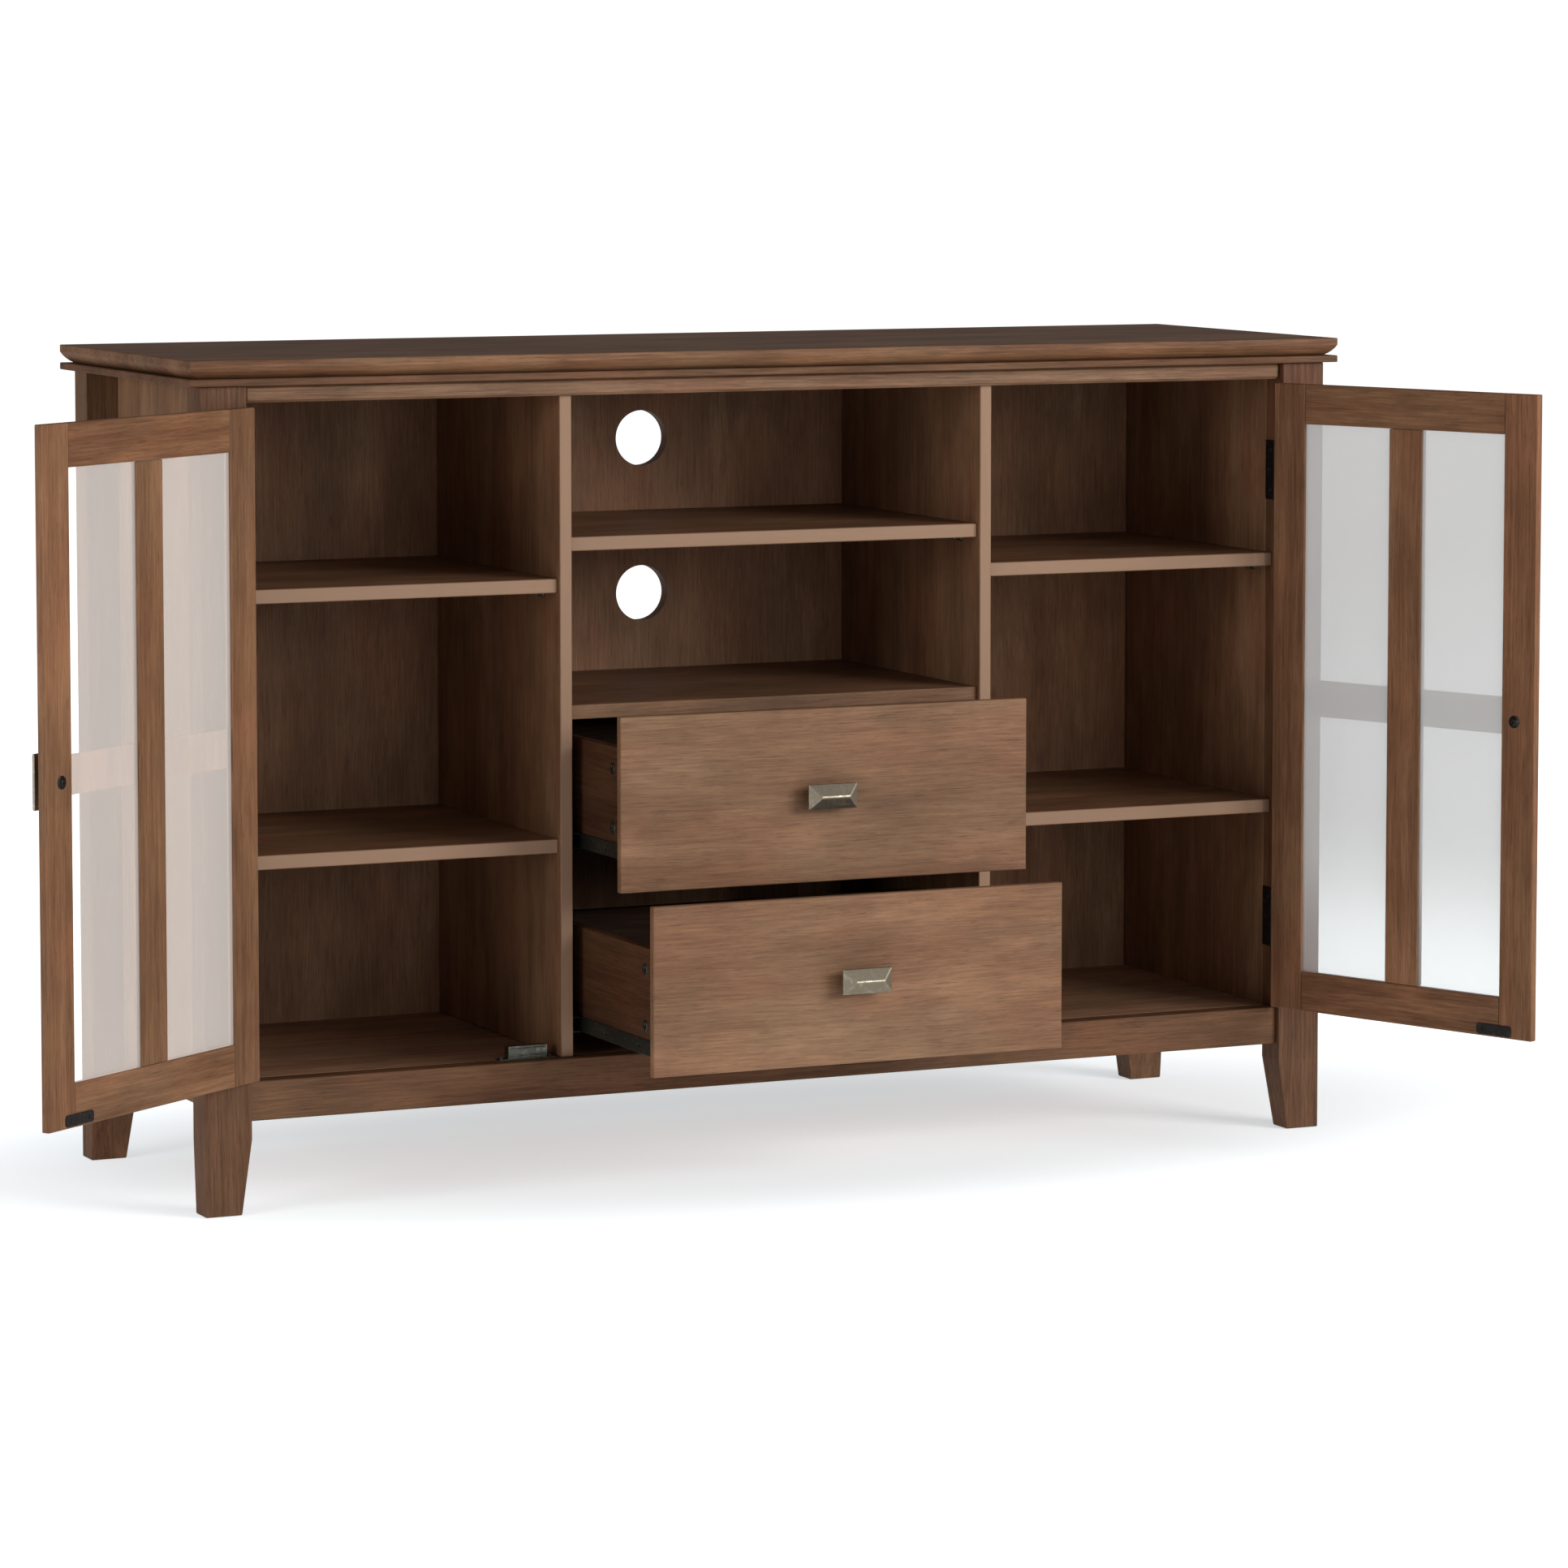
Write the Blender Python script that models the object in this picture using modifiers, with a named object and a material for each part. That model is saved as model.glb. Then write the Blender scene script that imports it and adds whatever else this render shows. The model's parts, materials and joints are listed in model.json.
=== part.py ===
"""Media cabinet: solid-wood case, two framed glass doors, two drawers, adjustable shelves.

Units are metres, +Z is up, the front faces -Y. Every board, hinge leaf, pane and knob is its own
object. The case is drawn about its own centre plane; the root empty then moves it, so that the
origin is the centre of the underside of the whole outline, with the doors and drawers open.
"""

import math

import bmesh
import bpy
from mathutils import Vector

# ---------------------------------------------------------------- driving dimensions
WIDTH = 1.346                 # top, left to right
DEPTH = 0.425                 # top, front to back
HEIGHT = 0.888

GAP = 0.0003                  # between pieces that touch
EASE = 0.0008                 # eased edge on every board
CUT_PAST = 0.01               # how far a cutter runs past the face that it opens

SLAB_THICK = 0.019            # top slab
SLAB_UNDERCUT = 0.0115        # bevel under the slab's edge
UNDERCUT_PROFILE = 0.34       # nearly straight, slightly full
SLAB_EASE = 0.0008
BOARD_THICK = 0.0075          # thin board under the slab

POST_WIDE, POST_DEEP = 0.0515, 0.038
POST_EASE = 0.001
OVERHANG_SIDE, OVERHANG_FRONT, OVERHANG_BACK = 0.013, 0.009, 0.011
TAPER_HEIGHT = 0.079          # legs taper on their inner faces below this
TAPER_X, TAPER_Y = 0.0115, 0.007

RAIL_SETBACK = 0.0065         # rails behind the posts' front faces
RAIL_THICK = 0.0235
BOTTOM_RAIL = (0.0968, 0.1382)
TOP_RAIL_LOW = 0.843
TOP_RAIL_EASE = 0.003

PANEL_THICK = 0.015           # bottom and shelves
SIDE_THICK = 0.0157
BACK_THICK = 0.0155
BACK_SETBACK = 0.0355         # back panel's front face, from the rear posts' back faces
CABLE_HOLE_X, CABLE_HOLE_R = -0.008, 0.0311
CABLE_HOLE_Z = (0.773, 0.5985)

DIVIDER_THICK = 0.0138
DIVIDER_OUTER = 0.2546        # a divider's outer face, from the centre plane
SHELF_FRONT_SETBACK = 0.006   # shelves behind the dividers' front edges
SHELF_PLAY = 0.0004           # at each end of a loose shelf
SIDE_SHELF_TOPS = {"upper": 0.6487, "lower": 0.3716}
CENTRE_SHELF_TOP = 0.6923
FIXED_SHELF_TOP = 0.5134

DOOR_SETBACK = RAIL_SETBACK   # a closed door is flush with the rails
DOOR_TO_DIVIDER = 0.0005      # closed door's inner face to the dividers' front edges
DOOR_THICK = 0.009
DOOR_WIDE = 0.3645
DOOR_Z = (0.1405, 0.8392)
DOOR_GAP = 0.004              # post to door, where the hinge leaves lie
FRAME_WIDE = 0.044            # stiles, rails and mullion
LATTICE_THICK = 0.003
GLASS_THICK = 0.003
GLASS_BITE = 0.005            # glass held in the frame's groove
MULLION_WIDE = 0.045
MULLION_OFFSET = 0.003        # towards the free edge, from the middle of the pane
MUNTIN_WIDE, MUNTIN_Z = 0.0405, 0.491
DOOR_OPEN = {"left": 144.4, "right": 111.1}     # degrees from closed, as stored

HINGE_TALL = 0.066
HINGE_Z = {"upper": 0.741, "lower": 0.239}
LEAF_THICK = 0.0011
FRAME_LEAF_WIDE = 0.0295      # on the post's inner face, nearly as deep as the post
DOOR_LEAF_WIDE = 0.0085       # on the door's edge, short of its inner face
KNUCKLE_R, PIN_R = 0.0017, 0.0008
PIN_OFFSET = 0.0021           # pin axis in front of the door's outer face
PIN_OVERRUN = 0.0012          # pin's tips past the outer knuckles
KNUCKLES = 5

KNOB_LONG, KNOB_SHORT = 0.0565, 0.027
KNOB_STEM_R, KNOB_STEM = 0.0065, 0.0135
KNOB_RIM, KNOB_ROOF = 0.0028, 0.0085
KNOB_RIDGE = 0.0330           # length of the ridge that the four slopes rise to
KNOB_RIDGE_FLAT = 0.0016      # width of the ridge
KNOB_EASE = 0.0006
KNOB_FROM_EDGE = 0.0268       # knob's centre from the door's free edge
DOOR_KNOB_Z = 0.4858

DRAWER_FRONT_THICK = 0.0095
DRAWER_FRONT_HALF = 0.2372
DRAWER_BOX_HALF = 0.2275
DRAWER_BOX_LONG = 0.335
DRAWER_WALL = 0.012
DRAWER_BOTTOM = 0.006
DRAWER_BOTTOM_RISE = 0.006
DRAWERS = {
    "upper": {"front": (0.3275, 0.5125), "box": (0.360, 0.4775), "pulled": 0.1112},
    "lower": {"front": (0.1455, 0.3235), "box": (0.163, 0.2755), "pulled": 0.1964},
}
RUNNER_WIDE, RUNNER_TALL, RUNNER_LONG = 0.0105, 0.017, 0.32
RUNNER_GAUGE = 0.0014

# ---------------------------------------------------------------- derived places
SLAB_LOW = HEIGHT - SLAB_THICK
BOARD_LOW = SLAB_LOW - GAP - BOARD_THICK
CASE_TOP = BOARD_LOW - GAP
POST_OUT = WIDTH / 2 - OVERHANG_SIDE
POST_IN = POST_OUT - POST_WIDE
POST_FRONT = -DEPTH / 2 + OVERHANG_FRONT
POST_BACK = DEPTH / 2 - OVERHANG_BACK
RAIL_FRONT = POST_FRONT + RAIL_SETBACK
RAIL_BACK = RAIL_FRONT + RAIL_THICK
BACK_FRONT = POST_BACK - BACK_SETBACK
DOOR_FRONT = POST_FRONT + DOOR_SETBACK
DOOR_BACK = DOOR_FRONT + DOOR_THICK
DIVIDER_FRONT = DOOR_BACK + DOOR_TO_DIVIDER
DIVIDER_INNER = DIVIDER_OUTER - DIVIDER_THICK
SHELF_FRONT = DIVIDER_FRONT + SHELF_FRONT_SETBACK
DOOR_HINGE_EDGE = POST_IN - DOOR_GAP
PIN_X = POST_IN - DOOR_GAP / 2
PIN_Y = DOOR_FRONT - PIN_OFFSET
LATTICE_BACK = DOOR_FRONT + LATTICE_THICK
GLASS_FRONT = LATTICE_BACK + GAP
GLASS_BACK = GLASS_FRONT + GLASS_THICK

SIDES = {"left": -1, "right": 1}


# ---------------------------------------------------------------- scene and materials
def clear_scene():
    for obj in list(bpy.data.objects):
        bpy.data.objects.remove(obj, do_unlink=True)


def collection(name):
    made = bpy.data.collections.new(name)
    bpy.context.scene.collection.children.link(made)
    return made


clear_scene()
PARTS = collection("media_cabinet")
CUTTERS = collection("cutters")


def material(name, colour, roughness, metallic=0.0, alpha=1.0):
    made = bpy.data.materials.new(name)
    made.use_nodes = True
    shader = made.node_tree.nodes["Principled BSDF"]
    shader.inputs["Base Color"].default_value = (*colour, 1.0)
    shader.inputs["Roughness"].default_value = roughness
    shader.inputs["Metallic"].default_value = metallic
    shader.inputs["Alpha"].default_value = alpha
    made.diffuse_color = (*colour, alpha)
    return made


WOOD = material("stained_wood", (0.235, 0.125, 0.070), 0.50)
INNER_WOOD = material("shelf_wood", (0.270, 0.160, 0.098), 0.52)
CLEAR_GLASS = material("clear_glass", (0.90, 0.92, 0.92), 0.05, alpha=0.3)
PEWTER = material("antique_pewter", (0.17, 0.14, 0.11), 0.42, metallic=0.9)
DARK_STEEL = material("blackened_steel", (0.025, 0.024, 0.022), 0.45, metallic=0.8)


# ---------------------------------------------------------------- building blocks
def empty(name, place, parent=None):
    made = bpy.data.objects.new(name, None)
    PARTS.objects.link(made)
    made.parent = parent
    made.location = Vector(place) - (parent.location if parent else Vector())
    return made


def solid(name, shape, centre, look, parent, group=PARTS):
    """Object from a bmesh drawn about `centre`, which is given in the closed case's frame."""
    mesh = bpy.data.meshes.new(name)
    bmesh.ops.recalc_face_normals(shape, faces=shape.faces)
    shape.to_mesh(mesh)
    shape.free()
    made = bpy.data.objects.new(name, mesh)
    if look:
        mesh.materials.append(look)
    group.objects.link(made)
    made.parent = parent
    made.location = Vector(centre) - (parent.location if parent else Vector())
    return made


def block(size):
    shape = bmesh.new()
    bmesh.ops.create_cube(shape, size=1.0)
    bmesh.ops.scale(shape, vec=size, verts=shape.verts)
    return shape


def ease(obj, width, segments=1):
    bevel = obj.modifiers.new("eased_edges", "BEVEL")
    bevel.width = width
    bevel.segments = segments
    bevel.limit_method = "ANGLE"
    return obj


def middle_and_size(*ranges):
    spans = [sorted(pair) for pair in ranges]
    centre = [(low + high) / 2 for low, high in spans]
    return centre, [high - low for low, high in spans]


def board(name, x, y, z, parent, look=WOOD, edge=EASE):
    """Square-edged board that fills the x, y and z ranges, with its long edges eased."""
    centre, size = middle_and_size(x, y, z)
    made = solid(name, block(size), centre, look, parent)
    return ease(made, edge) if edge else made


def cutter(name, x, y, z, parent):
    centre, size = middle_and_size(x, y, z)
    return as_cutter(solid(name, block(size), centre, None, parent, CUTTERS))


def round_bar(name, radius, centre, length, parent, look=None, axis="Z", sides=24, group=PARTS):
    shape = bmesh.new()
    bmesh.ops.create_cone(shape, cap_ends=True, segments=sides, radius1=radius, radius2=radius,
                          depth=length)
    made = solid(name, shape, centre, look, parent, group)
    if axis == "Y":
        made.rotation_euler = (math.pi / 2, 0.0, 0.0)
    return made


def as_cutter(obj):
    obj.hide_render = True
    obj.display_type = "WIRE"
    return obj


def combine(target, tool, operation):
    change = target.modifiers.new(operation.lower(), "BOOLEAN")
    change.operation = operation
    change.solver = "EXACT"
    change.object = tool


def mirrored(side, near, far):
    """x range from two distances off the centre plane, on the left (-1) or right (+1)."""
    return sorted((side * near, side * far))


# ---------------------------------------------------------------- case
ROOT = empty("cabinet_root", (0, 0, 0))


def make_top_slab():
    centre, size = middle_and_size((-WIDTH / 2, WIDTH / 2), (-DEPTH / 2, DEPTH / 2),
                                   (SLAB_LOW, HEIGHT))
    shape = block(size)
    weight = shape.edges.layers.float.new("bevel_weight_edge")
    for edge in shape.edges:
        if all(vert.co.z < 0 for vert in edge.verts):
            edge[weight] = 1.0
    slab = solid("top_slab", shape, centre, WOOD, ROOT)
    under = slab.modifiers.new("undercut", "BEVEL")
    under.limit_method = "WEIGHT"
    under.width = SLAB_UNDERCUT
    under.segments = 4
    under.profile = UNDERCUT_PROFILE
    ease(slab, SLAB_EASE)


def make_post(end, side_name):
    """Square post whose leg tapers on the two faces that look into the case."""
    side = SIDES[side_name]
    x = mirrored(side, POST_IN, POST_OUT)
    y = (POST_FRONT, POST_FRONT + POST_DEEP) if end == "front" else (POST_BACK - POST_DEEP, POST_BACK)
    centre, size = middle_and_size(x, y, (0.0, CASE_TOP))
    shape = block(size)
    level = TAPER_HEIGHT - centre[2]
    bmesh.ops.bisect_plane(shape, geom=shape.verts[:] + shape.edges[:] + shape.faces[:],
                           plane_co=(0, 0, level), plane_no=(0, 0, 1))
    inward_y = 1 if end == "front" else -1
    for vert in shape.verts:
        if vert.co.z < level - GAP:
            if vert.co.x * side < 0:
                vert.co.x += side * TAPER_X
            if vert.co.y * inward_y > 0:
                vert.co.y -= inward_y * TAPER_Y
    ease(solid(f"post_{end}_{side_name}", shape, centre, WOOD, ROOT), POST_EASE)


def make_case():
    make_top_slab()
    half = WIDTH / 2
    board("sub_top", (-half, half), (-DEPTH / 2, DEPTH / 2), (BOARD_LOW, BOARD_LOW + BOARD_THICK), ROOT)
    clear_span = (-POST_IN + GAP, POST_IN - GAP)
    board("front_top_rail", clear_span, (RAIL_FRONT, RAIL_BACK), (TOP_RAIL_LOW, CASE_TOP), ROOT,
          edge=TOP_RAIL_EASE)
    board("front_bottom_rail", clear_span, (RAIL_FRONT, RAIL_BACK), BOTTOM_RAIL, ROOT)
    panel_top = BOTTOM_RAIL[1]
    board("bottom_panel", clear_span, (RAIL_BACK + GAP, BACK_FRONT - GAP),
          (panel_top - PANEL_THICK, panel_top), ROOT)

    back = board("back_panel", clear_span, (BACK_FRONT, BACK_FRONT + BACK_THICK),
                 (BOTTOM_RAIL[0], CASE_TOP), ROOT)
    for index, height in enumerate(CABLE_HOLE_Z, start=1):
        centre = (CABLE_HOLE_X, BACK_FRONT + BACK_THICK / 2, height)
        drill = round_bar(f"cable_hole_{index}", CABLE_HOLE_R, centre, 3 * BACK_THICK, ROOT,
                          axis="Y", sides=48, group=CUTTERS)
        combine(back, as_cutter(drill), "DIFFERENCE")

    notch = cutter("rail_notch", (-half, half), (DIVIDER_FRONT - CUT_PAST, RAIL_BACK + GAP),
                   (TOP_RAIL_LOW - GAP, HEIGHT), ROOT)
    for side_name, side in SIDES.items():
        for end in ("front", "back"):
            make_post(end, side_name)
        board(f"side_panel_{side_name}", mirrored(side, POST_IN, POST_IN + SIDE_THICK),
              (POST_FRONT + POST_DEEP + GAP, POST_BACK - POST_DEEP - GAP),
              (BOTTOM_RAIL[0], CASE_TOP), ROOT)
        divider = board(f"divider_{side_name}", mirrored(side, DIVIDER_INNER, DIVIDER_OUTER),
                        (DIVIDER_FRONT, BACK_FRONT - GAP), (panel_top + GAP, CASE_TOP), ROOT,
                        look=INNER_WOOD)
        combine(divider, notch, "DIFFERENCE")
        for level, top in SIDE_SHELF_TOPS.items():
            make_shelf(f"{side_name}_{level}_shelf",
                       mirrored(side, DIVIDER_OUTER + SHELF_PLAY, POST_IN - SHELF_PLAY), top)
    bay = DIVIDER_INNER - SHELF_PLAY
    make_shelf("centre_shelf", (-bay, bay), CENTRE_SHELF_TOP)
    bay = DIVIDER_INNER - GAP
    make_shelf("fixed_shelf", (-bay, bay), FIXED_SHELF_TOP)


def make_shelf(name, x, top):
    board(name, x, (SHELF_FRONT, BACK_FRONT - SHELF_PLAY), (top - PANEL_THICK, top), ROOT,
          look=INNER_WOOD)


# ---------------------------------------------------------------- knobs
def make_knob(name, centre_x, face_y, centre_z, parent, upright):
    """Rectangular hipped knob on a round stem, standing off the face at `face_y`."""
    length, height = (KNOB_SHORT, KNOB_LONG) if upright else (KNOB_LONG, KNOB_SHORT)
    head_y = face_y - GAP - KNOB_STEM
    shape = block((length, KNOB_RIM, height))
    front = [face for face in shape.faces if face.normal.y < -0.5]
    raised = bmesh.ops.extrude_discrete_faces(shape, faces=front)["faces"][0]
    bmesh.ops.translate(shape, vec=(0, -KNOB_ROOF, 0), verts=raised.verts)
    along, across = KNOB_RIDGE / KNOB_LONG, KNOB_RIDGE_FLAT / KNOB_SHORT
    shrink = (across, 1.0, along) if upright else (along, 1.0, across)
    bmesh.ops.scale(shape, vec=shrink, verts=raised.verts)
    knob = solid(name, shape, (centre_x, head_y - KNOB_RIM / 2, centre_z), PEWTER, parent)
    ease(knob, KNOB_EASE)
    stem_long = KNOB_STEM + KNOB_RIM / 2
    stem = round_bar(f"{name}_stem", KNOB_STEM_R, (centre_x, face_y - GAP - stem_long / 2, centre_z),
                     stem_long, parent, axis="Y", sides=20, group=CUTTERS)
    combine(knob, as_cutter(stem), "UNION")


# ---------------------------------------------------------------- doors and hinges
def make_leaf(name, side, level, parent, plate_x, wide, own_knuckles, keeps_pin):
    """Hinge leaf: a plate in the gap beside the door, with every second knuckle round the pin."""
    middle = HINGE_Z[level]
    low, high = middle - HINGE_TALL / 2, middle + HINGE_TALL / 2
    clear = PIN_Y + KNUCKLE_R + GAP
    leaf = board(name, plate_x, (clear, clear + wide), (low, high), parent, DARK_STEEL, edge=None)
    step = HINGE_TALL / KNUCKLES
    axis = (side * PIN_X, PIN_Y)
    for index in own_knuckles:
        bottom = low + index * step + (GAP / 2 if index else 0)
        top = low + (index + 1) * step - (GAP / 2 if index < KNUCKLES - 1 else 0)
        tab = cutter(f"{name}_tab_{index}", plate_x, (PIN_Y, clear + LEAF_THICK), (bottom, top), parent)
        barrel = round_bar(f"{name}_knuckle_{index}", KNUCKLE_R, (*axis, (bottom + top) / 2),
                           top - bottom, parent, group=CUTTERS)
        combine(leaf, tab, "UNION")
        combine(leaf, as_cutter(barrel), "UNION")
    radius = PIN_R if keeps_pin else PIN_R + GAP
    overrun = PIN_OVERRUN if keeps_pin else CUT_PAST
    rod = round_bar(f"{name}_pin", radius, (*axis, middle), HINGE_TALL + 2 * overrun, parent,
                    sides=16, group=CUTTERS)
    combine(leaf, as_cutter(rod), "UNION" if keeps_pin else "DIFFERENCE")


def make_door(side_name):
    side = SIDES[side_name]
    axis = empty(f"{side_name}_door_axis", (side * PIN_X, PIN_Y, 0.0), ROOT)
    low, high = DOOR_Z
    hinge_edge, free_edge = DOOR_HINGE_EDGE, DOOR_HINGE_EDGE - DOOR_WIDE
    inner_hinge, inner_free = hinge_edge - FRAME_WIDE, free_edge + FRAME_WIDE
    thick = (DOOR_FRONT, DOOR_BACK)
    light = (low + FRAME_WIDE, high - FRAME_WIDE)
    name = f"{side_name}_door"

    frame = [
        board(f"{name}_hinge_stile", mirrored(side, inner_hinge, hinge_edge), thick, DOOR_Z, axis),
        board(f"{name}_free_stile", mirrored(side, free_edge, inner_free), thick, DOOR_Z, axis),
    ]
    between = mirrored(side, inner_free + GAP, inner_hinge - GAP)
    frame.append(board(f"{name}_top_rail", between, thick, (light[1], high), axis))
    frame.append(board(f"{name}_bottom_rail", between, thick, (low, light[0]), axis))

    bite = GLASS_BITE
    pane_x = mirrored(side, inner_free - bite, inner_hinge + bite)
    pane_z = (light[0] - bite, light[1] + bite)
    groove = cutter(f"{name}_groove", (pane_x[0] - GAP, pane_x[1] + GAP),
                    (GLASS_FRONT - GAP, GLASS_BACK + GAP), (pane_z[0] - GAP, pane_z[1] + GAP), axis)
    for piece in frame:
        combine(piece, groove, "DIFFERENCE")
    board(f"{name}_glass", pane_x, (GLASS_FRONT, GLASS_BACK), pane_z, axis, CLEAR_GLASS, edge=None)

    middle = side * ((inner_hinge + inner_free) / 2 - MULLION_OFFSET)
    bar_x = (middle - MULLION_WIDE / 2, middle + MULLION_WIDE / 2)
    light_inside = (light[0] + GAP, light[1] - GAP)
    lattice = board(f"{name}_lattice", bar_x, (DOOR_FRONT, LATTICE_BACK), light_inside, axis)
    muntin = cutter(f"{name}_muntin", between, (DOOR_FRONT, LATTICE_BACK),
                    (MUNTIN_Z - MUNTIN_WIDE / 2, MUNTIN_Z + MUNTIN_WIDE / 2), axis)
    ease(muntin, EASE)
    combine(lattice, muntin, "UNION")
    board(f"{name}_inner_mullion", bar_x, (GLASS_BACK + GAP, DOOR_BACK), light_inside, axis)

    make_knob(f"{name}_knob", side * (free_edge + KNOB_FROM_EDGE), DOOR_FRONT, DOOR_KNOB_Z, axis, True)
    for level in HINGE_Z:
        frame_plate = mirrored(side, POST_IN - GAP - LEAF_THICK, POST_IN - GAP)
        door_plate = mirrored(side, hinge_edge + GAP, hinge_edge + GAP + LEAF_THICK)
        make_leaf(f"{side_name}_{level}_hinge_frame_leaf", side, level, ROOT, frame_plate,
                  FRAME_LEAF_WIDE, range(0, KNUCKLES, 2), True)
        make_leaf(f"{side_name}_{level}_hinge_door_leaf", side, level, axis, door_plate,
                  DOOR_LEAF_WIDE, range(1, KNUCKLES, 2), False)
    axis.rotation_euler.z = side * math.radians(DOOR_OPEN[side_name])


# ---------------------------------------------------------------- drawers
def make_drawer(level):
    plan = DRAWERS[level]
    name = f"{level}_drawer"
    slide = empty(f"{name}_slide", (0.0, DOOR_FRONT, sum(plan["front"]) / 2), ROOT)
    front_y = (DOOR_FRONT, DOOR_FRONT + DRAWER_FRONT_THICK)
    board(f"{name}_front", (-DRAWER_FRONT_HALF, DRAWER_FRONT_HALF), front_y, plan["front"], slide)
    box_y = (front_y[1] + GAP, front_y[1] + GAP + DRAWER_BOX_LONG)
    inner = DRAWER_BOX_HALF - DRAWER_WALL
    for side_name, side in SIDES.items():
        board(f"{name}_{side_name}_side", mirrored(side, inner, DRAWER_BOX_HALF), box_y, plan["box"],
              slide, INNER_WOOD)
    inside = (-inner + GAP, inner - GAP)
    board(f"{name}_back", inside, (box_y[1] - DRAWER_WALL, box_y[1]), plan["box"], slide, INNER_WOOD)
    floor = plan["box"][0] + DRAWER_BOTTOM_RISE
    board(f"{name}_bottom", inside, (box_y[0], box_y[1] - DRAWER_WALL - GAP),
          (floor, floor + DRAWER_BOTTOM), slide, INNER_WOOD)
    make_knob(f"{name}_knob", 0.0, DOOR_FRONT, sum(plan["front"]) / 2, slide, False)
    slide.location.y -= plan["pulled"]


def make_runners(level):
    """Steel channels on the dividers, open towards the drawer box that runs in them."""
    low = DRAWERS[level]["box"][0]
    y = (SHELF_FRONT, SHELF_FRONT + RUNNER_LONG)
    z = (low, low + RUNNER_TALL)
    for side_name, side in SIDES.items():
        outer = DIVIDER_INNER - GAP
        runner = board(f"{level}_runner_{side_name}", mirrored(side, outer - RUNNER_WIDE, outer), y, z,
                       ROOT, DARK_STEEL, edge=None)
        hollow = cutter(f"{level}_channel_{side_name}", mirrored(side, 0.0, outer - RUNNER_GAUGE),
                        (y[0] - CUT_PAST, y[1] + CUT_PAST), (z[0] + RUNNER_GAUGE, z[1] - RUNNER_GAUGE),
                        ROOT)
        combine(runner, hollow, "DIFFERENCE")


# ---------------------------------------------------------------- assembly
def stand_on_origin():
    """Move the root so that the origin is the bottom centre of the outline as it stands."""
    bpy.context.view_layer.update()
    shapes = bpy.context.evaluated_depsgraph_get()
    corners = []
    for obj in PARTS.objects:
        if obj.type == "MESH":
            shown = obj.evaluated_get(shapes)
            corners += [shown.matrix_world @ Vector(corner) for corner in shown.bound_box]
    for axis in (0, 1):
        low = min(corner[axis] for corner in corners)
        high = max(corner[axis] for corner in corners)
        ROOT.location[axis] -= (low + high) / 2


make_case()
for door_side in SIDES:
    make_door(door_side)
for drawer_level in DRAWERS:
    make_drawer(drawer_level)
    make_runners(drawer_level)
stand_on_origin()
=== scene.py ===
"""Media cabinet: finishes, small hardware, floor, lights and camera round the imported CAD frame.

Metres, +Z up, front towards -Y. Every piece is drawn in the closed cabinet's own frame, in which the
case's centre plane is x = 0, and is then put where its door or drawer stands.
"""

import json
import math

import bmesh
import bpy
from mathutils import Matrix, Vector


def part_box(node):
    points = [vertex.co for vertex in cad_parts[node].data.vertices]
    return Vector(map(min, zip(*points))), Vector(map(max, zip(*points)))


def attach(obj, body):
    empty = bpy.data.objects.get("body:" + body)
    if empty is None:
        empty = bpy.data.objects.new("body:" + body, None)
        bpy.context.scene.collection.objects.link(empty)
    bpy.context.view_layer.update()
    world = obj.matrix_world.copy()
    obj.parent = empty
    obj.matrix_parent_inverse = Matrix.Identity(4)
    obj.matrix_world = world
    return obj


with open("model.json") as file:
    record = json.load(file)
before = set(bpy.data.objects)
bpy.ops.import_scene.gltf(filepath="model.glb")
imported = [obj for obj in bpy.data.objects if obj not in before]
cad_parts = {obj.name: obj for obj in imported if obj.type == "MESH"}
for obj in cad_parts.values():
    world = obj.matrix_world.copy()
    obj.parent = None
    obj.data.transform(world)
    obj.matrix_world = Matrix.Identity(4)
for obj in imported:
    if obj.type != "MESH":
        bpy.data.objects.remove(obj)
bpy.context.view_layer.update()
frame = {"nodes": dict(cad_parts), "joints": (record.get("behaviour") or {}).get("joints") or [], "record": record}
NODES = frame["nodes"]

# ---------------------------------------------------------------- places taken from the frame
SIDES = {"left": -1, "right": 1}
LEVELS = ("upper", "lower")
JOINTS = {joint["name"]: joint for joint in frame["joints"]}
SUB_LOW, SUB_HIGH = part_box("sub_top")
CASE_ORIGIN = Vector(((SUB_LOW.x + SUB_HIGH.x) / 2, (SUB_LOW.y + SUB_HIGH.y) / 2, 0.0))
IN_CASE = Matrix.Translation(CASE_ORIGIN)


def closing_turn(side_name):
    """The joint's angle at which that door is closed: the limit farther from where it stands."""
    return math.radians(max(JOINTS[f"{side_name}_door_hinge"]["range_deg"], key=abs))


def swing(side_name):
    """From the closed cabinet's frame to where that door stands open, in the row frame."""
    pin = Vector(JOINTS[f"{side_name}_door_hinge"]["pos_m"])
    turn = Matrix.Rotation(-closing_turn(side_name), 4, "Z")
    return Matrix.Translation(pin) @ turn @ Matrix.Translation(-pin) @ IN_CASE


PLACES = {"carcass": IN_CASE}
for side_name in SIDES:
    PLACES[f"{side_name}_door"] = swing(side_name)
for level in LEVELS:
    pulled = JOINTS[f"{level}_drawer_slide"]["range_m"][0]     # from the limit where it is shut
    PLACES[f"{level}_drawer"] = Matrix.Translation((0, pulled, 0)) @ IN_CASE


def case_box(node):
    """A carcass node's box in the closed cabinet's own frame."""
    low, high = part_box(node)
    return low - CASE_ORIGIN, high - CASE_ORIGIN


def closed_box(node, body):
    """Any node's box in the closed cabinet's own frame, with its door or drawer shut."""
    obj = NODES[node]
    back = PLACES[body].inverted() @ obj.matrix_world
    corners = [back @ vert.co for vert in obj.data.vertices]
    return (Vector([min(corner[axis] for corner in corners) for axis in range(3)]),
            Vector([max(corner[axis] for corner in corners) for axis in range(3)]))


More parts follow.
